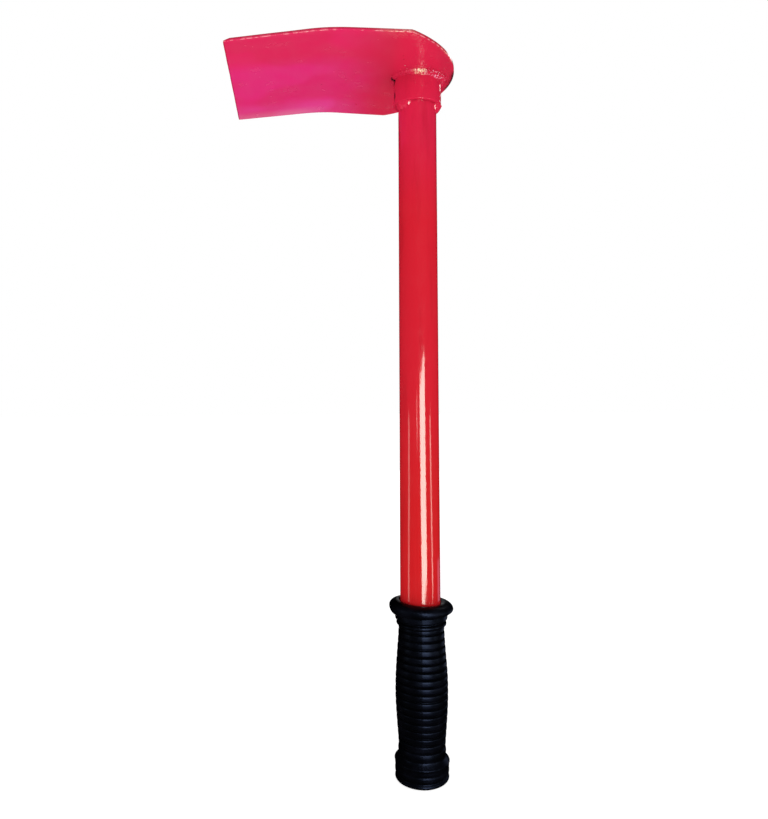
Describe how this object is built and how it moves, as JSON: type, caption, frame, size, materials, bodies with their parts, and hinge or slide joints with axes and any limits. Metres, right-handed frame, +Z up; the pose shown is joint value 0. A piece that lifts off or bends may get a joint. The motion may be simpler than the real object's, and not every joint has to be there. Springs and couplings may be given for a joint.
{
  "type": "fire hoe",
  "caption": "Short fire hoe: a bent steel blade set square across a tubular handle, with a welded socket and a ribbed rubber grip.",
  "frame": {"origin": "centre of the flat closed end of the grip", "axes": "+Z up along the handle from the grip to the blade, +X away from the cutting edge, which points along -X, and Y across the width of the blade"},
  "size_m": [0.193, 0.1796, 0.5925],
  "materials": {
    "blade_paint": "gloss magenta-red enamel over steel plate, with dust nibs and thin edges",
    "red_paint": "gloss red enamel with slight orange peel",
    "painted_weld": "gloss red enamel over a rippled weld bead",
    "black_rubber": "satin black moulded rubber"
  },
  "bodies": {
    "root": {"blade": "blade_paint", "socket": "red_paint", "socket_weld": "painted_weld", "rim_tack_left": "painted_weld", "rim_tack_right": "painted_weld", "rim_tack_back": "painted_weld", "handle_tube": "red_paint", "grip": "black_rubber"}
  },
  "joints": []
}
